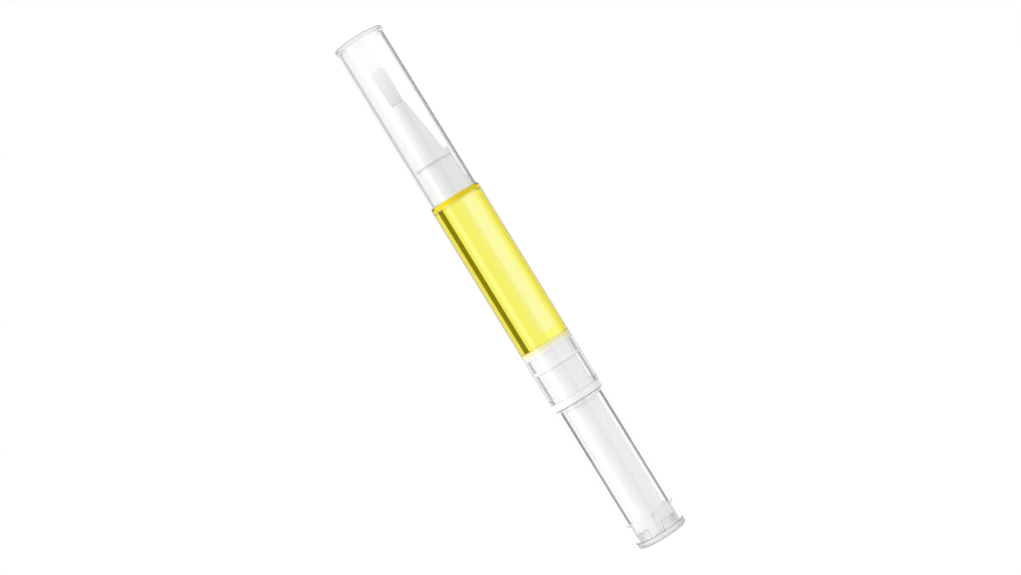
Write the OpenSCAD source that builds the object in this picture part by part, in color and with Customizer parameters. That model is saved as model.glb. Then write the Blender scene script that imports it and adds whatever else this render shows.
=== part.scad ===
/* [Barrel] */
// Outer diameter of the barrel and of the ring below it
barrel_od = 12; // [11.9:0.1:13]
// Bore of the oil chamber
chamber_bore = 10.5; // [10.4:0.1:10.7]
// Height of the oil chamber above the piston of a full pen
oil_h = 36.25; // [34:0.25:45]
// Thickness of the shoulder above the oil
shoulder_h = 1.15; // [0.8:0.05:2]
// Length of the neck that the cap slides over
neck_h = 8.6; // [7:0.1:10]

/* [Knob] */
// Outer diameter of the knob and of its end plug
knob_od = 11.8; // [11.6:0.1:11.9]
// Bore of the clear knob shell
knob_bore = 9.6; // [9.5:0.1:9.8]
// Length of the clear knob shell
knob_h = 33.7; // [33:0.1:40]
// Height of the end plug's flange
plug_h = 1.3; // [1.2:0.1:1.6]
// Radius of the rounded foot
foot_round = 0.7; // [0.4:0.1:0.9]

/* [Ring and nut] */
// Height of the white ring between knob and barrel
ring_h = 1.6; // [1.4:0.1:2]
// Height of the nut sleeve above the ring
nut_h = 7.1; // [7:0.1:8]

/* [Screw] */
// Thread pitch, which is how far the piston rises in a turn
pitch = 2.5; // [2:0.1:3]
// Radius over the thread's crest
crest_r = 1.9; // [1.8:0.05:1.95]
// Radius at the thread's root
root_r = 1.5; // [1.45:0.05:1.55]
// Thickness across the rod's two flats
flats_w = 2.84; // [2.7:0.02:2.9]

/* [Piston] */
// Height of the piston
piston_h = 5.35; // [5.2:0.05:6]

/* [Nozzle and brush] */
// Height of the white nozzle cone
cone_h = 13.4; // [12:0.1:15]
// Radius of the cone at its foot
cone_foot_r = 3.54; // [3.3:0.02:3.8]
// Radius of the cone at its tip
cone_tip_r = 1.7; // [1.65:0.05:1.9]
// Height of the tuft above the nozzle
tuft_h = 9.1; // [8:0.1:10]
// Radius of the tuft at its tip
tuft_r = 1.78; // [1.7:0.02:2]
// Number of bristles
bristle_count = 360; // [300:10:420]

/* [Cap] */
// Outer diameter of the cap
cap_od = 11.68; // [11.5:0.02:11.9]
// Bore of the cap
cap_bore = 10.28; // [10.26:0.02:10.5]
// Length of the cap
cap_h = 40.3; // [39:0.1:44]
// Thickness of the cap's closed end
cap_end_h = 1.2; // [0.8:0.1:1.6]

/* [Hidden] */
$fn = 64;

// Gaps: along the axis between faces, around what turns or slides, around what is pressed in,
// and the wider ones around what never touches
face_gap = 0.05;
running_gap = 0.1;
press_gap = 0.02;
clear_gap = 0.15;

// Width of a broken edge, and how deep a form is sunk into the one that carries it
edge = 0.12;
sunk = 0.2;

// Heights of the joints above the foot, from the knob up
knob_top = plug_h + knob_h;
ring_z = knob_top + face_gap;
barrel_z = ring_z + ring_h;
nut_top = barrel_z + nut_h;
piston_z = nut_top + clear_gap;
oil_z = piston_z + piston_h;
chamber_top = oil_z + oil_h;
shoulder_z = chamber_top + shoulder_h;
neck_top = shoulder_z + neck_h;

// Barrel: a wider seat for the nut's shoulder below, and a land with a snap bead for the cap on top
barrel_r = barrel_od / 2;
chamber_r = chamber_bore / 2;
nut_shoulder_h = 1.25;
seat_step = 0.2;
seat_r = chamber_r + seat_step;
seat_top = barrel_z + nut_shoulder_h + clear_gap + seat_step;
land_r = 4.98;
land_h = 2.4;
snap_r = 5.09;
snap_rise = 1.2;
snap_z = shoulder_z + snap_rise;
snap_h = 0.8;
neck_step_h = 0.4;
neck_foot_r = 4.52;
neck_tip_r = 4.38;
neck_bore_r = 3.5;

// Nut: its shoulder seats in the barrel, and its spigot carries the knob shell
nut_sleeve_r = 4.6;
spigot_h = 1;
spigot_r = knob_bore / 2 - running_gap;
sleeve_r = 3.85;
nut_bore_r = sleeve_r + clear_gap;
thread_h = 3.55;
thread_z = nut_top - thread_h;

// Knob: the sleeve hangs in the nut by its bead, and its foot is toothed into the end plug
knob_r = knob_od / 2;
knob_bore_r = knob_bore / 2;
sleeve_bore_r = 2.9;
sleeve_top = thread_z - 2 * clear_gap;
drive_h = 3;
bead_r = 4.1;
bead_h = 0.6;
bead_drop = 1.3;
bead_z = sleeve_top - bead_drop;
groove_r = bead_r + clear_gap;
groove_z = bead_z - clear_gap;
groove_top = bead_z + bead_h + clear_gap;
tooth_h = 1.65;
foot_z = plug_h + tooth_h;
foot_h = 4.9;
foot_top = plug_h + foot_h;
foot_r = knob_bore_r - press_gap;
foot_bore_r = 3.3;
tooth_count = 4;
tooth_from = -114;
tooth_turn = 37;
tooth_rise = 0.95;
lug_turn = 50;
slot_w = 0.45;
slot_h = 2.3;
boss_r = foot_bore_r - running_gap;
boss_h = 2.6;
boss_top = plug_h + boss_h;

// Screw: its head turns in the piston's socket
rod_z = boss_top + 2 * clear_gap;
rod_top = nut_top - clear_gap;
head_neck_r = 1.15;
head_r = 1.8;
head_gap = 0.07;
head_h = 2.35;
head_cone_h = 0.6;
head_cone_w = 0.5;
socket_lip_h = 0.65;
head_z = piston_z + socket_lip_h;
head_top = head_z + head_h;
ridge_root_w = 1;
ridge_crest_w = 0.5;
thread_steps = 24;

// Piston: two lips run on the bore, and the skirt is cored out from below
lip_r = chamber_r - press_gap;
lip_reach = 0.25;
waist_r = lip_r - lip_reach;
top_lip_h = 1.85;
low_lip_h = 0.8;
core_from = 2.6;
core_to = 4.3;
core_h = 3.6;

// Nozzle: a plug in the neck, a flange and a cone with the feed tube up its middle
flange_r = 4.49;
flange_h = 1.5;
cone_z = neck_top + flange_h;
tip_z = cone_z + cone_h;
tip_bore_r = 1.45;
tip_bore_h = 5.65;
root_z = tip_z - tip_bore_h;
tube_r = 0.55;
tube_bore_r = 0.3;
tube_reach = 4;

// Tuft: strands spread from a root slice, and each next one is a golden angle further round
slice_h = 1.4;
slice_r = tip_bore_r - press_gap;
strand_r = 0.036;
strand_hold = 0.6;
strand_z = root_z + slice_h - strand_hold;
mouth_drop = 0.2;
swell_rise = 1.3;
swell_r = 1.58;
tuft_z = tip_z + tuft_h;
tuft_dome = 0.6;
tuft_ragged = 0.35;
ragged_seed = 7;
golden_angle = 137.508;

// Cap: it ends in a flat face over a round-cornered bore, with the mould's gate standing in the bore
cap_z = shoulder_z + face_gap;
cap_r = cap_od / 2;
cap_bore_r = cap_bore / 2;
cap_top = cap_z + cap_h;
cap_round = 0.5;
cap_bore_top = cap_top - cap_end_h;
cap_bore_round = 0.35;
gate_r = 1.05;
gate_h = 0.9;
gate_slope = 0.2;

clear_plastic = [0.93, 0.96, 0.98, 0.35];
white_plastic = [0.96, 0.96, 0.95];
milky_plastic = [0.92, 0.92, 0.92, 0.85];
oil_yellow = [0.98, 0.92, 0.2, 0.85];

// Points of an arc about [x, y] of radius r, from one angle to another
function arc(x, y, r, from, to, steps = 6) = [
    for (i = [0:steps]) let (a = from + (to - from) * i / steps) [x + r * cos(a), y + r * sin(a)]
];

// A ring of the given radii between two heights
module ring(inner, outer, low, high) {
    rotate_extrude()
    translate([inner, low])
    square([outer - inner, high - low]);
}

// A ring's sector, which starts at an angle about the axis and goes on through a turn
module sector(inner, outer, low, high, from, turn) {
    rotate([0, 0, from])
    rotate_extrude(angle = turn)
    translate([inner, low])
    square([outer - inner, high - low]);
}

// A right-handed screw that reaches past both heights. grow and ease widen it for the nut's thread.
module screw(low, high, grow = 0, ease = 0) {
    outline = [
        [-ridge_root_w / 2 - ease, root_r + grow],
        [-ridge_crest_w / 2 - ease, crest_r + grow],
        [ridge_crest_w / 2 + ease, crest_r + grow],
        [ridge_root_w / 2 + ease, root_r + grow]
    ];
    n = thread_steps;
    k = len(outline);
    first = floor(low / pitch) - 2;
    turns = ceil(high / pitch) + 2 - first;
    rows = turns * k;
    helix = [
        for (i = [0:n - 1], j = [0:rows - 1])
            let (
                p = outline[j % k],
                a = 360 * i / n,
                z = (first + floor(j / k) + i / n) * pitch + p[0]
            )
            [p[1] * cos(a), p[1] * sin(a), z]
    ];
    flanks = [
        for (i = [0:n - 1], j = [0:rows - 2])
            let (a = i * rows + j, b = i < n - 1 ? a + rows : j + k)
            if (i < n - 1 || j + k < rows - 1)
                each [[a, a + 1, b + 1], [a, b + 1, b]]
    ];
    low_ring = [for (i = [0:n - 1]) i * rows, for (j = [k:-1:1]) j];
    high_ring = [
        for (i = [n:-1:1]) i * rows - 1,
        for (j = [rows - 1 - k:rows - 2]) (n - 1) * rows + j
    ];
    middles = [
        [0, 0, (first + 0.5) * pitch],
        [0, 0, (first + turns - 0.5) * pitch + ridge_root_w / 2]
    ];
    low_point = len(helix);
    high_point = low_point + 1;
    round = n + k;
    low_end = [for (i = [0:round - 1]) [low_point, low_ring[i], low_ring[(i + 1) % round]]];
    high_end = [for (i = [0:round - 1]) [high_point, high_ring[i], high_ring[(i + 1) % round]]];
    polyhedron(concat(helix, middles), concat(flanks, low_end, high_end));
}

module barrel() {
    color(clear_plastic)
    rotate_extrude()
    polygon([
        [seat_r, barrel_z], [barrel_r - edge, barrel_z], [barrel_r, barrel_z + edge],
        [barrel_r, shoulder_z - edge], [barrel_r - edge, shoulder_z], [land_r, shoulder_z],
        [land_r, snap_z], [snap_r, snap_z + snap_h / 4], [snap_r, snap_z + snap_h / 2],
        [land_r, snap_z + snap_h], [land_r, shoulder_z + land_h],
        [neck_foot_r, shoulder_z + land_h + neck_step_h], [neck_tip_r, neck_top],
        [neck_bore_r, neck_top], [neck_bore_r, chamber_top], [chamber_r, chamber_top],
        [chamber_r, seat_top], [seat_r, seat_top - seat_step]
    ]);
}

module nozzle() {
    tube_hole_r = tube_r + press_gap;
    skirt_r = neck_bore_r - press_gap;
    color(white_plastic)
    rotate_extrude()
    polygon([
        [tube_hole_r, chamber_top], [skirt_r, chamber_top], [skirt_r, neck_top],
        [flange_r, neck_top], [flange_r, cone_z - edge], [flange_r - edge, cone_z],
        [cone_foot_r, cone_z], [cone_tip_r, tip_z], [tip_bore_r, tip_z],
        [tip_bore_r, root_z], [tube_hole_r, root_z]
    ]);
}

module feed_tube() {
    color(clear_plastic)
    ring(tube_bore_r, tube_r, chamber_top, root_z + tube_reach);
}

// Strands at four heights: in the root slice, at the nozzle's mouth, where they swell, and at the tip
module strands() {
    corners = 3;
    root_in_r = tube_r + 3 * strand_r;
    root_out_r = slice_r - 2 * strand_r;
    inner = [root_in_r, root_in_r, 0.4, 0.06];
    outer = [root_out_r, root_out_r, swell_r - strand_r, tuft_r - strand_r];
    heights = [strand_z, tip_z - mouth_drop, tip_z + swell_rise];
    lift = rands(0, tuft_ragged, bristle_count, ragged_seed);
    levels = len(inner);
    points = [
        for (s = [0:bristle_count - 1], j = [0:levels - 1], c = [0:corners - 1])
            let (
                share = (s + 0.5) / bristle_count,
                r = sqrt(inner[j] ^ 2 + (outer[j] ^ 2 - inner[j] ^ 2) * share),
                top = tuft_z - tuft_dome * share - lift[s],
                a = s * golden_angle,
                b = a + 360 * c / corners
            )
            [
                r * cos(a) + strand_r * cos(b),
                r * sin(a) + strand_r * sin(b),
                j < levels - 1 ? heights[j] : top
            ]
    ];
    faces = [
        for (s = [0:bristle_count - 1])
            let (foot = s * levels * corners, head = foot + (levels - 1) * corners)
            each [
                for (j = [0:levels - 2], c = [0:corners - 1])
                    let (a = foot + j * corners + c, b = foot + j * corners + (c + 1) % corners)
                    each [[a, a + corners, b + corners], [a, b + corners, b]],
                [foot, foot + 1, foot + 2],
                [head + 2, head + 1, head]
            ]
    ];
    polyhedron(points, faces);
}

module bristles() {
    color(white_plastic) {
        strands();
        ring(tube_r + press_gap, slice_r, root_z, root_z + slice_h);
    }
}

module oil() {
    color(oil_yellow)
    translate([0, 0, oil_z + press_gap])
    cylinder(r = chamber_r - press_gap, h = oil_h - press_gap);
}

module guide_nut() {
    color(white_plastic)
    difference() {
        rotate_extrude()
        polygon([
            [nut_bore_r, ring_z - spigot_h], [spigot_r, ring_z - spigot_h], [spigot_r, ring_z],
            [barrel_r - edge, ring_z], [barrel_r, ring_z + edge], [barrel_r, barrel_z - edge],
            [barrel_r - edge, barrel_z], [seat_r - press_gap, barrel_z],
            [seat_r - press_gap, barrel_z + nut_shoulder_h],
            [nut_sleeve_r, barrel_z + nut_shoulder_h], [nut_sleeve_r, nut_top - edge],
            [nut_sleeve_r - edge, nut_top], [0, nut_top], [0, thread_z], [nut_bore_r, thread_z],
            [nut_bore_r, groove_top], [groove_r, groove_top], [groove_r, groove_z],
            [nut_bore_r, groove_z]
        ]);
        screw(thread_z, nut_top, running_gap, running_gap);
    }
}

module piston() {
    socket_r = head_r + head_gap;
    socket_z = head_z - face_gap;
    socket_top = head_top + face_gap;
    mouth_r = head_neck_r + running_gap;
    color(white_plastic)
    difference() {
        rotate_extrude()
        polygon([
            [mouth_r, piston_z], [lip_r - edge, piston_z], [lip_r, piston_z + edge],
            [lip_r, piston_z + low_lip_h - edge], [waist_r, piston_z + low_lip_h + edge],
            [waist_r, oil_z - top_lip_h - edge], [lip_r, oil_z - top_lip_h + edge],
            [lip_r, oil_z - edge], [lip_r - edge, oil_z], [0, oil_z], [0, socket_top],
            [socket_r, socket_top], [socket_r, socket_z], [mouth_r, socket_z]
        ]);
        ring(core_from, core_to, piston_z - 1, piston_z + core_h);
    }
}

module screw_rod() {
    color(white_plastic) {
        intersection() {
            screw(rod_z, rod_top);
            translate([-flats_w / 2, -barrel_r, rod_z])
            cube([flats_w, barrel_od, rod_top - rod_z]);
        }
        rotate_extrude()
        polygon([
            [0, rod_top - sunk], [head_neck_r, rod_top - sunk], [head_neck_r, head_z],
            [head_r, head_z], [head_r, head_top - head_cone_h], [head_r - head_cone_w, head_top],
            [0, head_top]
        ]);
    }
}

module knob_shell() {
    color(clear_plastic)
    rotate_extrude()
    polygon([
        [knob_bore_r, plug_h], [knob_r, plug_h], [knob_r, knob_top - edge],
        [knob_r - edge, knob_top], [knob_bore_r, knob_top]
    ]);
}

// The sleeve's foot is a band with teeth, each square on its leading side and sloped on the other
module drive_sleeve() {
    tooth_z = plug_h + face_gap;
    floor_z = boss_top + clear_gap;
    drive_z = sleeve_top - drive_h;
    reach = foot_r * sin(tooth_turn / 2);
    gap_turn = 360 / tooth_count - tooth_turn;
    tooth_flat = 0.5;
    past = 0.5;
    color(milky_plastic)
    difference() {
        rotate_extrude()
        polygon([
            [foot_bore_r, tooth_z], [foot_r, tooth_z], [foot_r, foot_top], [sleeve_r, foot_top],
            [sleeve_r, bead_z], [bead_r, bead_z + bead_h / 3], [bead_r, bead_z + bead_h * 2 / 3],
            [sleeve_r, bead_z + bead_h], [sleeve_r, sleeve_top - edge], [sleeve_r - edge, sleeve_top],
            [0, sleeve_top], [0, drive_z], [sleeve_bore_r, drive_z], [sleeve_bore_r, floor_z],
            [foot_bore_r, floor_z]
        ]);
        // the hole that turns the rod by its flats
        intersection() {
            translate([0, 0, drive_z - past])
            cylinder(r = crest_r + running_gap, h = drive_h + 2 * past);
            translate([-flats_w / 2 - running_gap, -barrel_r, drive_z - 2 * past])
            cube([flats_w + 2 * running_gap, barrel_od, drive_h + 4 * past]);
        }
        for (i = [0:tooth_count - 1]) rotate([0, 0, 360 * i / tooth_count + tooth_from]) {
            // the gap after each tooth
            sector(foot_bore_r - past, foot_r + past, tooth_z - past, foot_z, tooth_turn, gap_turn);
            // the tooth's slope
            rotate([0, 0, 90 + tooth_turn / 2])
            rotate([90, 0, 0])
            linear_extrude(knob_r)
            polygon([
                [tooth_flat - reach, tooth_z], [reach + past, tooth_z + tooth_rise],
                [reach + past, tooth_z - past], [tooth_flat - reach, tooth_z - past]
            ]);
            // a slot behind the tooth lets it flex
            rotate([0, 0, tooth_turn])
            translate([foot_bore_r - past, slot_w / 2, foot_z - past])
            cube([foot_r - foot_bore_r + 2 * past, slot_w, slot_h + past]);
        }
    }
}

module end_plug() {
    lug_from = tooth_from + tooth_turn + (360 / tooth_count - tooth_turn - lug_turn) / 2;
    lug_top = foot_z - running_gap;
    color(clear_plastic) {
        rotate_extrude()
        polygon(concat(
            [[0, 0]],
            arc(knob_r - foot_round, foot_round, foot_round, -90, 0),
            [[knob_r, plug_h], [boss_r, plug_h], [boss_r, boss_top - edge]],
            [[boss_r - edge, boss_top], [0, boss_top]]
        ));
        for (i = [0:tooth_count - 1])
            rotate([0, 0, 360 * i / tooth_count])
            sector(foot_bore_r, foot_r, plug_h - sunk, lug_top, lug_from, lug_turn);
    }
}

module cap() {
    gate_z = cap_bore_top - gate_h;
    color(clear_plastic)
    rotate_extrude()
    polygon(concat(
        [[cap_bore_r + edge, cap_z], [cap_r - edge, cap_z], [cap_r, cap_z + edge]],
        arc(cap_r - cap_round, cap_top - cap_round, cap_round, 0, 90),
        [[0, cap_top], [0, gate_z], [gate_r - gate_slope, gate_z], [gate_r, cap_bore_top]],
        arc(cap_bore_r - cap_bore_round, cap_bore_top - cap_bore_round, cap_bore_round, 90, 0),
        [[cap_bore_r, cap_z + edge]]
    ));
}

barrel();
nozzle();
bristles();
feed_tube();
oil();
guide_nut();
piston();
screw_rod();
knob_shell();
drive_sleeve();
end_plug();
cap();
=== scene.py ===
import math
import bpy
from mathutils import Matrix


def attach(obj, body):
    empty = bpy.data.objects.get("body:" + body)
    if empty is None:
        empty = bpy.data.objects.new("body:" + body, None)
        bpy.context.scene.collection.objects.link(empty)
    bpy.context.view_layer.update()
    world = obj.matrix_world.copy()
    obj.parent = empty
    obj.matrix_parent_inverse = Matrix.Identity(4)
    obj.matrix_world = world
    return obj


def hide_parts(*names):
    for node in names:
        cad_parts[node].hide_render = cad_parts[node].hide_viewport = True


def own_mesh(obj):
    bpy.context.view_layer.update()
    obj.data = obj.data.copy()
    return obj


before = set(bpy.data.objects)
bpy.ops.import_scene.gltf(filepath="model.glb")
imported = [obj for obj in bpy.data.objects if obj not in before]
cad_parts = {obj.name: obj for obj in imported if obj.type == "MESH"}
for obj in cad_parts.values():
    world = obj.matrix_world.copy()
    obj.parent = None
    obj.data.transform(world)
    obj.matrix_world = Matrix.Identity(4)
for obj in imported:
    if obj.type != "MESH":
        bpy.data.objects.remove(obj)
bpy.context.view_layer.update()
mm = 0.001
tiny = 0.0005  # mm, stands for the axis itself until doubles are merged
weld = 0.002  # mm, points closer than this are one

# The twist pen stands on its foot. Heights above the foot and radii are in mm, as in the model.
pen = {
    "knobTop": 35.0, "ringLow": 35.05, "ringHigh": 36.65, "joint": 0.01,
    "chamberTop": 85.5, "shoulder": 86.65, "neckTop": 95.25, "capTop": 127.0,
    "bore": 5.25, "outer": 6.0, "sides": 180,
}


# modelling in code

def letGo():
    if bpy.context.mode != "OBJECT":
        bpy.ops.object.mode_set(mode="OBJECT")
    bpy.ops.object.select_all(action="DESELECT")


def pick(piece):
    letGo()
    piece.select_set(True)
    bpy.context.view_layer.objects.active = piece


def chooseFaces(piece, wanted):
    # selects the faces whose centre, in mm, passes the test, and stays in edit mode
    bpy.ops.object.mode_set(mode="EDIT")
    bpy.ops.mesh.select_mode(type="FACE")
    bpy.ops.mesh.select_all(action="DESELECT")
    bpy.ops.object.mode_set(mode="OBJECT")
    for face in piece.data.polygons:
        face.select = wanted(face.center / mm)
    bpy.ops.object.mode_set(mode="EDIT")


def pull(height):
    # draws what is selected out along the pen's axis, by so many mm
    bpy.ops.mesh.extrude_region_move(TRANSFORM_OT_translate={"value": (0, 0, height * mm)})


def softenEdges(width, sharp, rounds=3):
    # rounds each edge that turns by more than sharp degrees
    bpy.ops.mesh.select_mode(type="EDGE")
    bpy.ops.mesh.select_all(action="DESELECT")
    bpy.ops.mesh.edges_select_sharp(sharpness=math.radians(sharp))
    bpy.ops.mesh.bevel(offset=width * mm, segments=rounds, affect="EDGES")


def turnOnLathe(name, profile, sides=pen["sides"], soften=0.0, sharp=32):
    # a circle is drawn along the profile of (radius, height) by extruding and resizing it
    letGo()
    radii = [max(r, tiny) for r, z in profile]
    heights = [z for r, z in profile]
    start = (0, 0, heights[0] * mm)
    bpy.ops.mesh.primitive_circle_add(vertices=sides, radius=radii[0] * mm, location=start)
    piece = bpy.context.object
    piece.name = name
    bpy.ops.object.transform_apply(location=True, rotation=True, scale=True)
    bpy.ops.object.mode_set(mode="EDIT")
    bpy.ops.mesh.select_mode(type="EDGE")
    bpy.ops.mesh.select_all(action="SELECT")
    for i in range(1, len(profile)):
        grow = radii[i] / radii[i - 1]
        pull(heights[i] - heights[i - 1])
        bpy.ops.transform.resize(value=(grow, grow, 1), center_override=(0, 0, heights[i] * mm))
    bpy.ops.mesh.select_all(action="SELECT")
    bpy.ops.mesh.remove_doubles(threshold=weld * mm)
    bpy.ops.mesh.normals_make_consistent(inside=False)
    if soften:
        softenEdges(soften, sharp)
    bpy.ops.object.mode_set(mode="OBJECT")
    return piece


def cutGroove(piece, turn, groove):
    # takes an upright round groove out of the piece, on the side that turn gives in degrees
    letGo()
    a = math.radians(turn)
    away = groove["away"] * mm
    low, high = groove["heights"]
    bpy.ops.mesh.primitive_cylinder_add(
        vertices=groove["sides"], radius=groove["radius"] * mm, depth=(high - low) * mm,
        location=(away * math.cos(a), away * math.sin(a), (low + high) / 2 * mm))
    cutter = bpy.context.object
    pick(piece)
    cut = piece.modifiers.new("groove", "BOOLEAN")
    cut.operation = "DIFFERENCE"
    cut.solver = "EXACT"
    cut.object = cutter
    bpy.ops.object.modifier_apply(modifier=cut.name)
    bpy.data.objects.remove(cutter)


def joinPieces(pieces):
    letGo()
    for piece in pieces:
        piece.select_set(True)
    bpy.context.view_layer.objects.active = pieces[0]
    bpy.ops.object.join()
    return bpy.context.object


def polish(piece, angle=35):
    # large faces lead the shading, so a long wall stays straight up to its rounded ends
    pick(piece)
    bpy.ops.object.shade_smooth_by_angle(angle=math.radians(angle))
    even = piece.modifiers.new("evenShading", "WEIGHTED_NORMAL")
    even.keep_sharp = True
    even.weight = 100
    bpy.ops.object.modifier_apply(modifier=even.name)
    letGo()


def coat(piece, material):
    piece.data.materials.clear()
    piece.data.materials.append(material)


def place(piece, body, node):
    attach(piece, body)
    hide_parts(node)
    print("made", piece.name, "on", body)


def arcPoints(x, y, r, start, end, steps=8):
    turns = [math.radians(start + (end - start) * i / steps) for i in range(steps + 1)]
    return [(x + r * math.cos(turn), y + r * math.sin(turn)) for turn in turns]


def between(rows, level):
    # the values at a level, read off rows that each begin with their own level
    for a, b in zip(rows, rows[1:]):
        if level <= b[0]:
            t = (level - a[0]) / (b[0] - a[0])
            return tuple(p + (q - p) * t for p, q in zip(a[1:], b[1:]))
    return rows[-1][1:]


# shader sums

class Wire:
    # a socket that sums can be written on
    def __init__(self, recipe, socket):
        self.recipe = recipe
        self.socket = socket

    def __add__(self, other):
        return self.recipe.sum("ADD", self, other)

    def __radd__(self, other):
        return self.recipe.sum("ADD", other, self)

    def __sub__(self, other):
        return self.recipe.sum("SUBTRACT", self, other)

    def __rsub__(self, other):
        return self.recipe.sum("SUBTRACT", other, self)

    def __mul__(self, other):
        return self.recipe.sum("MULTIPLY", self, other)

    def __rmul__(self, other):
        return self.recipe.sum("MULTIPLY", other, self)

    def __truediv__(self, other):
        return self.recipe.sum("DIVIDE", self, other)

    def __pow__(self, other):
        return self.recipe.sum("POWER", self, other)

    def __gt__(self, other):
        return self.recipe.sum("GREATER_THAN", self, other)

    def __lt__(self, other):
        return self.recipe.sum("LESS_THAN", self, other)


class Recipe:
    # one material or world, and its nodes
    def __init__(self, name, world=False):
        self.owner = bpy.data.worlds.new(name) if world else bpy.data.materials.new(name)
        self.endKind = "ShaderNodeOutputWorld" if world else "ShaderNodeOutputMaterial"
        self.owner.use_nodes = True
        self.tree = self.owner.node_tree
        self.tree.nodes.clear()

    def node(self, kind, settings=None, sockets=None, out=0):
        made = self.tree.nodes.new(kind)
        for key, value in (settings or {}).items():
            setattr(made, key, value)
        for key, value in (sockets or {}).items():
            self.feed(made.inputs[key], value)
        return Wire(self, made.outputs[out])

    def feed(self, socket, value):
        if isinstance(value, Wire):
            self.tree.links.new(value.socket, socket)
        elif socket.type == "RGBA":
            socket.default_value = (*value, 1)
        else:
            socket.default_value = value

    def sum(self, operation, first, second):
        return self.node("ShaderNodeMath", {"operation": operation}, {0: first, 1: second})

    def least(self, first, second):
        return self.sum("MINIMUM", first, second)

    def ramp(self, value, low, high, start=0.0, end=1.0, smooth=True):
        shape = "SMOOTHSTEP" if smooth else "LINEAR"
        ends = {"Value": value, "From Min": low, "From Max": high, "To Min": start, "To Max": end}
        return self.node("ShaderNodeMapRange", {"interpolation_type": shape}, ends)

    def blend(self, share, first, second):
        # sockets 0, 6 and 7 and output 2 are the ones for colour
        return self.node("ShaderNodeMix", {"data_type": "RGBA"}, {0: share, 6: first, 7: second}, out=2)

    def mixShaders(self, share, first, second):
        return self.node("ShaderNodeMixShader", sockets={0: share, 1: first, 2: second})

    def spot(self):
        return self.node("ShaderNodeTexCoord", out="Object")

    def along(self, axis):
        return self.node("ShaderNodeSeparateXYZ", sockets={0: self.spot()}, out=axis) / mm  # in mm

    def noise(self, scale, detail=2.0, rough=0.5):
        return self.node("ShaderNodeTexNoise", sockets={
            "Vector": self.spot(), "Scale": scale, "Detail": detail, "Roughness": rough,
        })

    def ray(self, name):
        return self.node("ShaderNodeLightPath", out=name)

    def seen(self):
        # 1 for rays that show a thing, and 0 for rays that only bring its light to others
        views = self.ray("Is Camera Ray") + self.ray("Is Glossy Ray") + self.ray("Is Transmission Ray")
        return self.least(views, 1.0)

    def facing(self):
        # from 0 where a face is seen straight on to 1 where it is seen edge on
        return self.node("ShaderNodeLayerWeight", sockets={"Blend": 0.5}, out="Facing")

    def bump(self, height, strength, distance):
        sockets = {"Height": height, "Strength": strength, "Distance": distance}
        return self.node("ShaderNodeBump", sockets=sockets)

    def plastic(self, sockets):
        return self.node("ShaderNodeBsdfPrincipled", sockets=sockets)

    def straightThrough(self, colour):
        return self.node("ShaderNodeBsdfTransparent", sockets={"Color": colour})

    def lightPasses(self, look, colour, share=1.0):
        # shadows and bounced light go straight through, so what stands inside is lit
        passing = self.ray("Is Shadow Ray") + self.ray("Is Diffuse Ray")
        return self.mixShaders(passing * share, look, self.straightThrough(colour))

    def finish(self, surface):
        end = self.tree.nodes.new(self.endKind)
        self.tree.links.new(surface.socket, end.inputs["Surface"])
        return self.owner


# finishes

clearLook = {
    "tint": (0.99, 0.993, 0.995), "tintLow": (0.982, 0.986, 0.99), "passing": (0.985, 0.985, 0.985),
    "index": 1.5, "critical": 0.2546,  # past this facing the inner wall is a mirror
    # the lines and hooks below are painted shade, which darkens the glass's colour where bent light would
    # show dark surroundings, and gold is painted light from the oil
    "nearLine": (0.205, 0.235, 0.272, 0.302), "farLine": (0.66, 0.95), "lineDepth": 0.86,
    "lineReach": 0.06, "hookFacing": (0.42, 0.52), "gold": (1.0, 0.7, 0.0009), "goldFade": (0.15, 0.1, 0.02),
    "waves": 180, "waveStrength": 0.003, "waveHeight": 0.0004,
    "milkRough": 0.6, "milkGloss": 0.1, "milkSpread": (0.75, 1.25), "milkWaves": (0.2, 0.8),
}
black = (0, 0, 0)


def innerLineShade(r, facing, crossed, wall):
    # painted shade: the dark line of a clear tube's inner wall, drawn into its colour by how steeply it is
    # seen, in place of the dark surroundings that the bent light shows there: on the near side, on the far
    # side, and a faint thin one beside them
    a, b, c, d = clearLook["nearLine"]
    near = r.ramp(facing, a, b) * r.ramp(facing, c, d, 1.0, 0.0) * (crossed < 1.5)
    far = r.ramp(facing, *clearLook["farLine"]) * (crossed < 2.5)
    dark = (near + far) * wall["line"]
    if "faint" in wall:
        middle, width, depth = wall["faint"]
        thin = r.ramp(facing, middle - width, middle) * r.ramp(facing, middle, middle + width, 1.0, 0.0)
        dark = dark + thin * (crossed < 1.5) * depth
    return dark


def innerSteps(r, facing, crossed, z, wall):
    # dark bands between two heights, some of them dark joints and some painted shade along the outline of an
    # end; hooks are short strokes of painted shade that climb towards the outline
    dark = 0
    for low, high, depth, *turned in wall.get("seamsAndShade", []):
        seamAndShade = (z > low) * (z < high) * (crossed < 0.5) * depth
        dark = (seamAndShade * r.ramp(facing, *turned) if turned else seamAndShade) + dark
    for middle, slope, width, depth in wall.get("hooks", []):
        off = z - facing * slope - middle
        stroke = r.ramp(off * off, 0, width * width, depth, 0.0) * r.ramp(facing, *clearLook["hookFacing"])
        dark = stroke * (crossed < 0.5) + dark
    return dark


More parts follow.
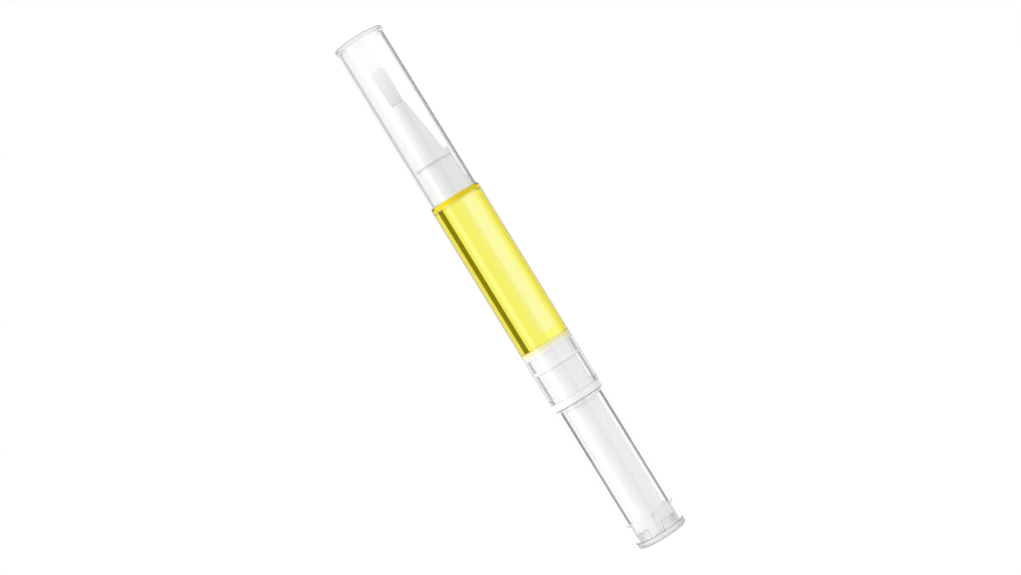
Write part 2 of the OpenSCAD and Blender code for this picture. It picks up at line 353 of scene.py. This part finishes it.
def clearPlastic(name, wall):
    # bore, low and high of the wall say which inner wall reads as a dark line, line how dark it is, weak
    # where it fades between two heights, and edge where the outer wall darkens towards its outline; both are
    # painted shade in the glass's colour, in place of the dark surroundings that bent light shows there.
    # crossed counts the clear walls that the light has passed, so it is 0 on the first one
    r = Recipe(name)
    z = r.along("Z")
    x = r.along("X")
    y = r.along("Y")
    waves = r.noise(clearLook["waves"], 1.0)
    facing = r.facing()
    crossed = r.ray("Transmission Depth")
    inside = (x * x + y * y) ** 0.5 < wall["bore"] + clearLook["lineReach"]
    dark = innerLineShade(r, facing, crossed, wall) * inside * (z > wall["low"]) * (z < wall["high"])
    for nearZ, farZ, share in wall.get("weak", []):
        dark = dark * r.ramp(z, nearZ, farZ, share, 1.0)
    # painted shade: the outer wall darkens towards its outline
    edgeFrom, edgeTo, edgeDepth = wall["edge"]
    dark = dark + r.ramp(facing, edgeFrom, edgeTo) * (1 - inside) * edgeDepth
    dark = dark + innerSteps(r, facing, crossed, z, wall)
    # the glass keeps this share of the light where painted shade darkens its colour
    kept = 1 - r.least(dark, 1.0) * clearLook["lineDepth"]
    tint = r.blend(waves, clearLook["tintLow"], clearLook["tint"])
    # painted light: the gold band tints the glass's colour where the oil's light shines into it
    if "gold" in wall:
        low, high = wall["gold"]
        rise, fall, past = clearLook["goldFade"]
        band = r.ramp(z, low, low + rise) * r.ramp(z, high - fall, high + past, 1.0, 0.0)
        tint = r.blend(band, tint, clearLook["gold"])
    glass = {
        "Base Color": r.blend(kept * kept, black, tint), "Roughness": 0.0, "IOR": clearLook["index"],
        "Transmission Weight": 1.0,
        "Normal": r.bump(waves, clearLook["waveStrength"], clearLook["waveHeight"]),
    }
    look = r.plastic(glass)
    if "gold" in wall:
        # the oil wets the inner wall, which keeps no gloss of its own
        wet = r.plastic({**glass, "Specular Tint": black})
        look = r.mixShaders(r.least(inside + band, 1.0), look, wet)
    if wall["line"]:
        # the mirror stands in for the inner wall's total reflection, and the painted shade darkens it like
        # the rest of the line
        shine = r.blend(kept, black, (1, 1, 1))
        mirror = r.plastic({"Base Color": shine, "Roughness": 0.0, "Metallic": 1.0})
        turned = (facing > clearLook["critical"]) * (crossed > 0.5) * (crossed < 1.5) * inside
        look = r.mixShaders(turned, look, mirror)
    if "haze" in wall:
        # above a height, this share of the light goes straight through
        share, fromZ, colour = wall["haze"]
        pale = r.straightThrough(r.blend(kept, black, colour))
        look = r.mixShaders((z > fromZ) * share, look, pale)
    if "milk" in wall:
        # how cloudy the plastic is above a height, and its colours below and above a second height
        share, fromZ, below, changeZ, above = wall["milk"]
        cloud = r.plastic({
            "Base Color": r.blend(kept, black, r.blend(z > changeZ, below, above)),
            "Roughness": clearLook["milkRough"], "Specular IOR Level": clearLook["milkGloss"],
        })
        least, most = clearLook["milkSpread"]
        cloudy = r.ramp(waves, *clearLook["milkWaves"], share * least, share * most) * (z > fromZ)
        look = r.mixShaders(cloudy, look, cloud)
    return r.finish(r.lightPasses(look, clearLook["passing"]))


whiteLook = {
    "colour": (0.89, 0.89, 0.885), "cloudy": 0.97, "clouds": 120, "gloss": 0.15, "index": 1.49,
    "rough": 0.38, "roughSpread": (-0.05, 0.07), "gapShadowColour": (0.4, 0.4, 0.4), "gapFade": 0.1,
    "grain": 9000, "grainRange": (0.3, 0.7), "grainStrength": 0.08, "grainHeight": 0.0001,
}


def whitePlastic(name, cream=None, gap=None, **changes):
    # cream is a colour that comes in between two heights, and gap is a joint whose own shadow is painted
    # into the colour
    own = {**whiteLook, **changes}
    r = Recipe(name)
    z = r.along("Z")
    grain = r.noise(own["grain"], 3.0, 0.6)
    tone = r.blend(r.noise(own["clouds"]), tuple(c * own["cloudy"] for c in own["colour"]), own["colour"])
    if cream:
        low, high, colour = cream
        tone = r.blend(r.ramp(z, low, high), tone, colour)
    # painted shadow in the joint
    if gap:
        low, high, depth = gap
        tone = r.blend(r.ramp(z, low, low + own["gapFade"]) * (z < high) * depth, tone, own["gapShadowColour"])
    least, most = own["roughSpread"]
    rough = r.ramp(grain, *own["grainRange"], own["rough"] + least, own["rough"] + most)
    return r.finish(r.plastic({
        "Base Color": tone, "Roughness": rough, "IOR": own["index"], "Specular IOR Level": own["gloss"],
        "Normal": r.bump(grain, own["grainStrength"], own["grainHeight"]),
    }))


# barrel

def makeBarrel():
    size = {
        "land": 4.98, "beadFrom": 1.2, "bead": 5.09, "beadLow": 1.4, "beadHigh": 1.6, "beadTo": 2.0,
        "landTo": 2.4, "neckFoot": 4.52, "neckFrom": 2.8, "neckTip": 4.38, "neckBore": 3.5,
    }
    top = pen["shoulder"]
    foot = pen["ringHigh"] + pen["joint"]
    profile = [
        (pen["bore"], foot), (pen["outer"], foot), (pen["outer"], top), (size["land"], top),
        (size["land"], top + size["beadFrom"]), (size["bead"], top + size["beadLow"]),
        (size["bead"], top + size["beadHigh"]), (size["land"], top + size["beadTo"]),
        (size["land"], top + size["landTo"]), (size["neckFoot"], top + size["neckFrom"]),
        (size["neckTip"], pen["neckTop"]), (size["neckBore"], pen["neckTop"]),
        (size["neckBore"], pen["chamberTop"]), (pen["bore"], pen["chamberTop"]), (pen["bore"], foot),
    ]
    barrel = turnOnLathe("clearBarrel", profile, soften=0.09)
    polish(barrel, angle=12)
    # painted shade: the inner wall's dark line, the darker outline and the hook near the foot; the band at
    # the foot is the joint with the ring
    wall = {
        "bore": pen["bore"], "low": pen["ringHigh"] + 0.1, "high": pen["chamberTop"] - 0.2,
        "line": 0.55, "edge": (0.55, 0.9, 0.7), "hooks": [(pen["ringHigh"] + 0.1, 1.2, 0.3, 0.4)],
        "seamsAndShade": [(pen["ringHigh"], pen["ringHigh"] + 0.2, 0.14)],
        # painted light: a gold tint in the glass's colour stands in for the oil's light in the shoulder
        "gold": (pen["chamberTop"] - 0.05, top + 0.02),  # the oil shines into the thick shoulder
    }
    coat(barrel, clearPlastic("barrelPlastic", wall))
    place(barrel, "barrel", "barrel")


# oil

def makeOil():
    size = {"low": 49.23, "overlap": 0.02, "corner": 0.1, "travel": 32.5}
    shine = {
        "thin": (0.94, 0.905, 0.1), "thinHigh": (0.94, 0.91, 0.13), "deep": (0.91, 0.67, 0.004),
        "deepFacing": (0.17, 0.32), "deepShare": 0.95, "drift": 60, "index": 1.5,
        "passing": (0.99, 0.95, 0.45),
    }
    radius = pen["bore"] + size["overlap"]
    high = pen["chamberTop"] + size["overlap"]
    profile = [(0, size["low"])]
    profile += arcPoints(radius - size["corner"], size["low"] + size["corner"], size["corner"], -90, 0)
    profile += [(radius, high), (0, high)]
    oil = turnOnLathe("oilFilling", profile)
    polish(oil, angle=50)
    r = Recipe("yellowOil")
    body = r.blend(r.noise(shine["drift"], 1.0), shine["thin"], shine["thinHigh"])
    # painted shade: the oil's colour turns a darker gold where it is seen steeply, towards its outline
    deep = r.ramp(r.facing(), *shine["deepFacing"]) * shine["deepShare"]
    look = r.plastic({
        "Base Color": r.blend(deep, body, shine["deep"]), "Roughness": 0.0, "IOR": shine["index"],
        "Transmission Weight": 1.0, "Specular Tint": black,
    })
    coat(oil, r.finish(r.lightPasses(look, shine["passing"])))
    place(oil, "barrel", "oil")
    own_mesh(oil)


# nozzle and brush

def makeNozzle():
    size = {
        "lift": 0.03, "plug": 3.515, "tubeHole": 0.57, "flange": 4.49, "flangeTop": 96.75,
        "coneFoot": 3.54, "coneTip": 1.7, "tip": 110.15, "tipBore": 1.45, "root": 104.5,
    }
    low = pen["chamberTop"] + size["lift"]
    rest = pen["neckTop"] + pen["joint"]
    nozzle = turnOnLathe("nozzleCone", [
        (size["tubeHole"], low), (size["plug"], low), (size["plug"], rest), (size["flange"], rest),
        (size["flange"], size["flangeTop"]), (size["coneFoot"], size["flangeTop"]),
        (size["coneTip"], size["tip"]), (size["tipBore"], size["tip"]), (size["tipBore"], size["root"]),
        (size["tubeHole"], size["root"]), (size["tubeHole"], low),
    ], sides=128, soften=0.09)
    polish(nozzle)
    coat(nozzle, whitePlastic("nozzlePlastic", gap=(pen["neckTop"] - 0.55, pen["neckTop"], 0.3)))
    place(nozzle, "barrel", "nozzle")


def makeBrush():
    tuft = {
        "count": 420, "strand": 0.055, "sides": 5, "turn": 137.508, "sway": 0.05,
        "levels": (0.33, 0.62, 0.92),  # how far along a strand it passes mouth, swell and wisp
        "root": 105.2, "rootRadius": 1.36, "mouth": 109.95, "swell": 111.45, "swellRadius": 1.52,
        "top": 119.2, "tipRadius": 1.74, "dome": 0.5, "ragged": 0.3,
        "wisp": 0.5, "wispThick": 0.9, "endThick": 0.35,
        "rootCore": 0.16, "tipCore": 0.02,  # squares of the innermost strand's distance from the axis
    }
    letGo()
    bpy.ops.mesh.primitive_cylinder_add(vertices=tuft["sides"], radius=tuft["strand"] * mm, depth=1.0)
    first = bpy.context.object
    bpy.ops.object.mode_set(mode="EDIT")
    for level in tuft["levels"]:
        bpy.ops.mesh.select_all(action="SELECT")
        bpy.ops.mesh.bisect(plane_co=(0, 0, level - 0.5), plane_no=(0, 0, 1))
    bpy.ops.object.mode_set(mode="OBJECT")
    outline = [(v.co.x, v.co.y, v.co.z + 0.5) for v in first.data.vertices]
    mouthLevel, swellLevel, wispLevel = tuft["levels"]
    bristles = []
    for i in range(tuft["count"]):
        share = (i + 0.5) / tuft["count"]
        wander = math.sin(i * 12.9898) * 43758.5453  # its fraction is scattered, the same in each run
        wander -= math.floor(wander)
        top = tuft["top"] - tuft["dome"] * share - tuft["ragged"] * wander
        copy = first.copy()
        copy.data = first.data.copy()
        bpy.context.collection.objects.link(copy)
        spread = [
            (0.0, tuft["root"], tuft["rootRadius"], 1.0),
            (mouthLevel, tuft["mouth"], tuft["rootRadius"], 1.0),
            (swellLevel, tuft["swell"], tuft["swellRadius"], 1.0),
            (wispLevel, top - tuft["wisp"], tuft["tipRadius"], tuft["wispThick"]),
            (1.0, top, tuft["tipRadius"], tuft["endThick"]),
        ]
        for v, (px, py, level) in zip(copy.data.vertices, outline):
            z, radius, thick = between(spread, level)
            core = tuft["rootCore"] if level < 0.5 else tuft["tipCore"]
            r = math.sqrt(core + (radius * radius - core) * share)
            a = i * math.radians(tuft["turn"]) + tuft["sway"] * (wander - 0.5) * level
            v.co = ((r * math.cos(a)) * mm + px * thick, (r * math.sin(a)) * mm + py * thick, z * mm)
        bristles.append(copy)
    bpy.data.objects.remove(first)
    brush = joinPieces(bristles)
    brush.name = "brushTuft"
    polish(brush, angle=60)
    coat(brush, bristleNylon())
    place(brush, "barrel", "bristles")


def bristleNylon():
    look = {
        "low": (0.98, 0.98, 0.975), "high": (1.0, 1.0, 0.995), "strands": 6000, "rough": 0.45,
        "index": 1.53, "gloss": 0.2, "glow": 0.5, "passing": 0.93,
    }
    r = Recipe("bristleNylon")
    solid = r.plastic({
        "Base Color": r.blend(r.noise(look["strands"], 1.0), look["low"], look["high"]),
        "Roughness": look["rough"], "IOR": look["index"], "Specular IOR Level": look["gloss"],
    })
    glow = r.node("ShaderNodeBsdfTranslucent", sockets={"Color": look["high"]})
    return r.finish(r.lightPasses(r.mixShaders(look["glow"], solid, glow), (1, 1, 1), look["passing"]))


# ring and nut

def makeRing():
    size = {
        "seat": 5.23, "shoulderTop": 37.9, "sleeve": 4.6, "top": 43.86, "spigot": 4.7, "spigotLow": 34.05,
        "bore": 4.0, "thread": 40.2, "rodHole": 2.0,
    }
    ring = turnOnLathe("whiteRing", [
        (size["bore"], size["spigotLow"]), (size["spigot"], size["spigotLow"]),
        (size["spigot"], pen["ringLow"]), (pen["outer"], pen["ringLow"]), (pen["outer"], pen["ringHigh"]),
        (size["seat"], pen["ringHigh"]), (size["seat"], size["shoulderTop"]),
        (size["sleeve"], size["shoulderTop"]), (size["sleeve"], size["top"]), (size["rodHole"], size["top"]),
        (size["rodHole"], size["thread"]), (size["bore"], size["thread"]), (size["bore"], size["spigotLow"]),
    ], soften=0.1)
    polish(ring)
    coat(ring, whitePlastic("ringPlastic", colour=(0.96, 0.96, 0.955), rough=0.3, gloss=0.5))
    place(ring, "barrel", "guide_nut")


# piston

def makePiston():
    size = {
        "low": 43.9, "lowLipTop": 44.58, "waistFoot": 44.82, "waistTop": 47.28, "lipFoot": 47.52,
        "high": 49.25, "lip": 5.265, "waist": 4.98, "coreIn": 2.6, "coreOut": 4.3, "coreTop": 47.5,
        "mouth": 1.25, "mouthTop": 44.5, "socket": 1.87, "socketTop": 46.95,
    }
    piston = turnOnLathe("whitePiston", [
        (0, size["high"]), (size["lip"], size["high"]), (size["lip"], size["lipFoot"]),
        (size["waist"], size["waistTop"]), (size["waist"], size["waistFoot"]),
        (size["lip"], size["lowLipTop"]), (size["lip"], size["low"]), (size["coreOut"], size["low"]),
        (size["coreOut"], size["coreTop"]), (size["coreIn"], size["coreTop"]), (size["coreIn"], size["low"]),
        (size["mouth"], size["low"]), (size["mouth"], size["mouthTop"]), (size["socket"], size["mouthTop"]),
        (size["socket"], size["socketTop"]), (0, size["socketTop"]),
    ], sides=128, soften=0.08)
    polish(piston)
    oily = (47.3, 49.6, (0.93, 0.87, 0.3))
    coat(piston, whitePlastic("pistonPlastic", cream=oily, colour=(0.97, 0.97, 0.965)))
    place(piston, "piston", "piston")


# knob

knob = {"outer": 5.9, "tube": 4.8, "lug": 4.77, "lugIn": 3.3}


def makeKnob():
    low = 1.32
    top = pen["knobTop"]
    shell = turnOnLathe("knobShell", [
        (knob["tube"], low), (knob["outer"], low), (knob["outer"], top), (knob["tube"], top),
        (knob["tube"], low),
    ], soften=0.11)
    polish(shell)
    # painted shade: the inner wall's dark line with its faint thin neighbour, the darker outline and the
    # hooks near the foot; the bands at both ends are its joints
    wall = {
        "bore": knob["tube"], "low": 1.5, "high": top - 0.1, "line": 0.9, "edge": (0.62, 1.0, 0.2),
        "faint": (0.163, 0.016, 0.2), "weak": [(5.9, 6.3, 0.45), (34.5, 34.1, 0.4)],
        "hooks": [(5.1, 1.2, 0.3, 0.45)],
        "seamsAndShade": [(low - 0.1, low + 0.12, 0.35), (top - 0.12, top + 0.1, 0.75)],
    }
    coat(shell, clearPlastic("knobPlastic", wall))
    place(shell, "knob", "knob_shell")


def makePlug():
    size = {
        "round": 0.7, "flange": 1.3, "boss": 3.2, "bossTop": 3.9,
        "lugTop": 3.45, "lugFrom": -76, "lugTurn": 50,
    }
    profile = [(0, 0)] + arcPoints(knob["outer"] - size["round"], size["round"], size["round"], -90, 0)
    profile += [
        (knob["outer"], size["flange"]), (knob["lug"], size["flange"]), (knob["lugIn"], size["flange"]),
        (size["boss"], size["flange"]), (size["boss"], size["bossTop"]), (0, size["bossTop"]),
    ]
    plug = turnOnLathe("endPlug", profile)
    pick(plug)

    def lugSpot(c):
        turn = (math.degrees(math.atan2(c.y, c.x)) - size["lugFrom"]) % 90
        onRing = knob["lugIn"] < math.hypot(c.x, c.y) < knob["lug"] and abs(c.z - size["flange"]) < 0.01
        return onRing and turn < size["lugTurn"]

    chooseFaces(plug, lugSpot)
    pull(size["lugTop"] - size["flange"])
    softenEdges(width=0.06, sharp=40)
    polish(plug)
    # painted shade: the outer wall darkens towards its outline
    wall = {
        "bore": 0.1, "low": 0, "high": 0, "line": 0.0, "edge": (0.05, 0.6, 0.27),
        "milk": (0.5, -1, (0.88, 0.88, 0.865), 1.45, (1.0, 1.0, 0.97)),
    }
    coat(plug, clearPlastic("plugPlastic", wall))
    place(plug, "knob", "end_plug")


def makeSleeve():
    size = {
        "footLow": 3.55, "footTop": 6.2, "tube": 3.85, "bore": 2.9, "floor": 4.1, "drive": 36.9,
        "rodHole": 1.9, "beadFrom": 38.6, "beadLow": 38.8, "beadHigh": 39.0, "beadTo": 39.2, "bead": 4.1,
        "top": 39.9, "toothLow": 1.35, "toothFrom": -114, "toothTurn": 36, "rise": 0.95, "tip": 5,
    }
    groove = {"turn": -84, "away": 4.95, "radius": 0.55, "heights": (2.45, 5.9), "sides": 48}
    sleeve = turnOnLathe("driveSleeve", [
        (knob["lugIn"], size["footLow"]), (knob["lug"], size["footLow"]), (knob["lug"], size["footTop"]),
        (size["tube"], size["footTop"]), (size["tube"], size["beadFrom"]), (size["bead"], size["beadLow"]),
        (size["bead"], size["beadHigh"]), (size["tube"], size["beadTo"]), (size["tube"], size["top"]),
        (size["rodHole"], size["top"]), (size["rodHole"], size["drive"]), (size["bore"], size["drive"]),
        (size["bore"], size["floor"]), (knob["lugIn"], size["floor"]), (knob["lugIn"], size["footLow"]),
    ])
    for i in range(4):
        cutGroove(sleeve, groove["turn"] + 90 * i, groove)
    pick(sleeve)

    def toothSpot(c):
        turn = (math.degrees(math.atan2(c.y, c.x)) - size["toothFrom"]) % 90
        return abs(c.z - size["footLow"]) < 0.01 and turn < size["toothTurn"]

    chooseFaces(sleeve, toothSpot)
    pull(size["toothLow"] - size["footLow"])
    bpy.ops.object.mode_set(mode="OBJECT")
    for v in sleeve.data.vertices:
        if v.co.z < (size["toothLow"] + 0.05) * mm:
            # each tooth's lower edge slopes up from its tip
            turn = (math.degrees(math.atan2(v.co.y, v.co.x)) - size["toothFrom"] + 2) % 90 - 2
            v.co.z += size["rise"] * mm * max(0, turn - size["tip"]) / size["toothTurn"]
    bpy.ops.object.mode_set(mode="EDIT")
    softenEdges(width=0.07, sharp=40, rounds=2)
    polish(sleeve)
    coat(sleeve, whitePlastic("sleevePlastic", colour=(0.97, 0.97, 0.965)))
    place(sleeve, "knob", "drive_sleeve")


# screw rod

def makeRod():
    size = {
        "root": 1.5, "pitch": 2.5, "turns": 18, "steps": 40, "lead": 3.5, "low": 4.2, "high": 43.6,
        "flat": 1.42, "neck": 1.15, "head": 1.8, "headLow": 44.55, "headHigh": 46.9,
        "headSlope": (0.5, 0.6), "headSink": 0.2,
    }
    # one turn of the thread's outline, as steps out and up
    ridge = [(0, 0.72), (0.28, 0.22), (0.12, 0.11), (0, 0.5), (-0.12, 0.11), (-0.28, 0.22), (0, 0.62)]
    letGo()
    bpy.ops.mesh.primitive_circle_add(vertices=3, radius=0.001, location=(0, 0, 0))
    rod = bpy.context.object
    rod.name = "screwRod"
    bpy.ops.object.mode_set(mode="EDIT")
    bpy.ops.mesh.select_mode(type="VERT")
    bpy.ops.mesh.select_all(action="SELECT")
    bpy.ops.mesh.merge(type="CENTER")
    bpy.ops.transform.translate(value=(size["root"] * mm, 0, (size["low"] - size["lead"]) * mm))
    for out, up in ridge:
        bpy.ops.mesh.extrude_vertices_move(TRANSFORM_OT_translate={"value": (out * mm, 0, up * mm)})
    bpy.ops.object.mode_set(mode="OBJECT")
    turning = rod.modifiers.new("thread", "SCREW")
    turning.screw_offset = size["pitch"] * mm
    turning.iterations = size["turns"]
    turning.steps = turning.render_steps = size["steps"]
    turning.use_merge_vertices = True
    turning.merge_threshold = weld * mm
    pick(rod)
    bpy.ops.object.modifier_apply(modifier="thread")
    bpy.ops.object.mode_set(mode="EDIT")
    bpy.ops.mesh.select_all(action="SELECT")
    bpy.ops.mesh.remove_doubles(threshold=weld * mm)
    bpy.ops.mesh.normals_make_consistent(inside=False)
    cuts = [
        ((0, 0, size["low"]), (0, 0, -1)), ((0, 0, size["high"]), (0, 0, 1)),
        ((size["flat"], 0, 0), (1, 0, 0)), ((-size["flat"], 0, 0), (-1, 0, 0)),
    ]
    for spot, way in cuts:
        bpy.ops.mesh.select_all(action="SELECT")
        bpy.ops.mesh.bisect(plane_co=tuple(s * mm for s in spot), plane_no=way, use_fill=True,
                            clear_outer=True, threshold=0.001 * mm)
    bpy.ops.object.mode_set(mode="OBJECT")
    slopeIn, slopeUp = size["headSlope"]
    neckLow = size["high"] - size["headSink"]
    head = turnOnLathe("rodHead", [
        (0, neckLow), (size["neck"], neckLow), (size["neck"], size["headLow"]),
        (size["head"], size["headLow"]), (size["head"], size["headHigh"] - slopeUp),
        (size["head"] - slopeIn, size["headHigh"]), (0, size["headHigh"]),
    ], sides=64, soften=0.05)
    joinPieces([rod, head])
    polish(rod, angle=30)
    coat(rod, whitePlastic("rodPlastic"))
    place(rod, "screw", "screw_rod")


# cap

def makeCap():
    size = {
        "low": 86.72, "bore": 5.14, "outer": 5.84, "corner": 0.5, "inside": 125.8, "inCorner": 0.35,
        "pip": 1.05, "pipTip": 0.75, "pipFoot": 0.85, "pipDepth": 0.9,
    }
    top = pen["capTop"]
    inside = size["inside"]
    corner, inCorner = size["corner"], size["inCorner"]
    profile = [(0, top)] + arcPoints(size["outer"] - corner, top - corner, corner, 90, 0)
    profile += [(size["outer"], size["low"]), (size["bore"], size["low"])]
    profile += arcPoints(size["bore"] - inCorner, inside - inCorner, inCorner, 0, 90)
    profile += [
        (size["pip"], inside), (size["pip"] * size["pipTip"], inside - size["pipFoot"]),
        (0, inside - size["pipDepth"]),
    ]
    cap = turnOnLathe("clearCap", profile, soften=0.1, sharp=50)
    polish(cap)
    endLow = inside - 0.04
    endColour = (0.97, 0.97, 0.965)
    # painted shade: the inner wall's dark line, the darker outline, and the dark bands along the top outline
    # and the corners of the closed end
    wall = {
        "bore": size["bore"], "low": size["low"] + 0.1, "high": inside - 0.2,
        "line": 0.43, "edge": (0.62, 1.0, 0.12),
        "seamsAndShade": [(top - 0.3, top - 0.02, 0.26), (inside + 0.1, top + 0.1, 0.17, 0.25, 0.6)],
        "haze": (0.85, endLow, (0.99, 0.99, 0.99)), "milk": (0.07, endLow, endColour, top, endColour),
    }
    coat(cap, clearPlastic("capPlastic", wall))
    place(cap, "cap", "cap")


# feed tube

def coatTube():
    # the model's own tube stays, in clear plastic, with painted shade for its inner wall's dark line and its
    # outline
    wall = {"bore": 0.3, "low": 86, "high": 109, "line": 0.4, "edge": (0.62, 1.0, 0.2)}
    coat(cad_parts["feed_tube"], clearPlastic("tubePlastic", wall))
    print("coated feed_tube")


makeBarrel()
makeOil()
makeNozzle()
makeBrush()
makeRing()
makePiston()
makeKnob()
makePlug()
makeSleeve()
makeRod()
makeCap()
coatTube()
print("pieces done")


# studio

def makeCard(name, card):
    # a card that faces the pen. turn is counted in degrees to the right from straight behind it, and oily
    # is its colour through the oil, which light leaves by its sixth clear wall
    a = math.radians(card["turn"])
    away = card["away"] * mm
    low, high = card["heights"]
    letGo()
    middle = (away * math.sin(a), away * math.cos(a), (low + high) / 2 * mm)
    bpy.ops.mesh.primitive_plane_add(size=1, location=middle)
    made = bpy.context.object
    made.name = name
    made.scale = (card["wide"] * mm, (high - low) * mm, 1)
    made.rotation_euler = (math.radians(90), 0, -a)
    c = Recipe(name + "Light")
    colour = (1, 1, 1)
    if "oily" in card:
        colour = c.blend(c.ray("Transmission Depth") > 4.5, colour, card["oily"])
    if "soft" in card:
        # the card's sides fade to plain white
        soft = card["soft"]
        across = c.node("ShaderNodeSeparateXYZ", sockets={0: c.spot()}, out="X")
        fade = c.ramp(across, -0.5, -0.5 + soft) * c.ramp(across, 0.5 - soft, 0.5, 1.0, 0.0)
        colour = c.blend(fade, (1 / card["strength"],) * 3, colour)
    light = c.node("ShaderNodeEmission", sockets={"Color": colour, "Strength": card["strength"]})
    coat(made, c.finish(light))
    for ray in ("camera", "diffuse", "glossy", "transmission", "shadow", "volume_scatter"):
        setattr(made, "visible_" + ray, ray == card["ray"])


def makeCards():
    # two cards behind, which the clear parts bend into view, and four at the sides, which only gloss shows
    tall = (-200, 400)
    flag = {"away": 250, "heights": tall, "strength": 0.0, "ray": "glossy"}
    shine = {"away": 60, "heights": tall, "ray": "glossy"}
    cards = {
        "greyCard": {"turn": 33.6, "away": 108, "wide": 26, "heights": (44, 140), "strength": 0.17,
                     "ray": "transmission", "oily": (1.38, 1.18, 0.1)},
        "paleCard": {"turn": -15.5, "away": 250, "wide": 175, "heights": (45, 99), "strength": 1.0,
                     "ray": "transmission", "oily": (1, 1, 2.6), "soft": 0.42},
        "leftFlag": {**flag, "turn": -83, "wide": 238},
        "rightFlag": {**flag, "turn": 62, "wide": 111},
        "leftShine": {**shine, "turn": -132, "wide": 29, "strength": 3.4, "soft": 0.25},
        "rightShine": {**shine, "turn": 128, "wide": 85, "strength": 2.6, "soft": 0.2},
    }
    for name, card in cards.items():
        makeCard(name, card)


def makeLamps():
    # each lamp: degrees to the left of the camera as the pen sees it, then distance, height, width and
    # tallness in metres, and watts
    lamps = {"keyLamp": (75, 0.50, 0.10, 0.34, 0.60, 1.5), "sideLamp": (-60, 0.55, 0.10, 0.40, 0.60, 0.06)}
    for name, (left, away, high, wide, tall, watts) in lamps.items():
        data = bpy.data.lights.new(name, "AREA")
        data.shape = "RECTANGLE"
        data.size = wide
        data.size_y = tall
        data.energy = watts
        lamp = bpy.data.objects.new(name, data)
        bpy.context.collection.objects.link(lamp)
        a = math.radians(left)
        lamp.location = (-away * math.sin(a), -away * math.cos(a), high)
        lamp.rotation_euler = (math.radians(90), 0, -a)
        lamp.visible_glossy = lamp.visible_transmission = False


def makeRoom():
    room = {
        "floor": 1.6, "sides": 96, "paper": (0.85, 0.85, 0.85), "glow": 1.08, "glowShare": 0.8,
        "lit": 0.84, "shown": 1.0,
    }
    letGo()
    bpy.ops.mesh.primitive_circle_add(vertices=room["sides"], radius=room["floor"], fill_type="NGON")
    floor = bpy.context.object
    floor.name = "paperFloor"
    r = Recipe("whitePaper")
    paper = r.node("ShaderNodeBsdfDiffuse", sockets={"Color": room["paper"]})
    glow = r.node("ShaderNodeEmission", sockets={"Color": (1, 1, 1), "Strength": room["glow"]})
    coat(floor, r.finish(r.mixShaders(r.seen() * room["glowShare"], paper, glow)))

    w = Recipe("whiteRoom", world=True)
    strength = w.ramp(w.seen(), 0, 1, room["lit"], room["shown"], smooth=False)
    w.finish(w.node("ShaderNodeBackground", sockets={"Color": (1, 1, 1), "Strength": strength}))
    bpy.context.scene.world = w.owner


def makeCamera():
    view = {
        "roll": 31.6, "away": 478.9, "height": 63.4, "pixelsWide": 1021, "focalPixels": 2200,
        "sensor": 36,
    }
    data = bpy.data.cameras.new("viewCamera")
    data.sensor_width = view["sensor"]
    data.lens = view["focalPixels"] / view["pixelsWide"] * view["sensor"]
    data.clip_start = 0.01
    camera = bpy.data.objects.new("viewCamera", data)
    bpy.context.collection.objects.link(camera)
    c = math.cos(math.radians(view["roll"]))
    s = math.sin(math.radians(view["roll"]))
    turn = Matrix(((c, s, 0), (0, 0, -1), (-s, c, 0)))
    camera.matrix_world = Matrix.Translation((0, -view["away"] * mm, view["height"] * mm)) @ turn.to_4x4()
    bpy.context.scene.camera = camera


makeRoom()
makeCards()
makeLamps()
makeCamera()
bpy.context.scene.view_settings.view_transform = "Standard"
bounces = {"max_bounces": 32, "transmission_bounces": 32, "glossy_bounces": 16, "diffuse_bounces": 4,
           "transparent_max_bounces": 32}
for setting, count in bounces.items():
    setattr(bpy.context.scene.cycles, setting, count)  # light crosses many clear walls
print("studio done")
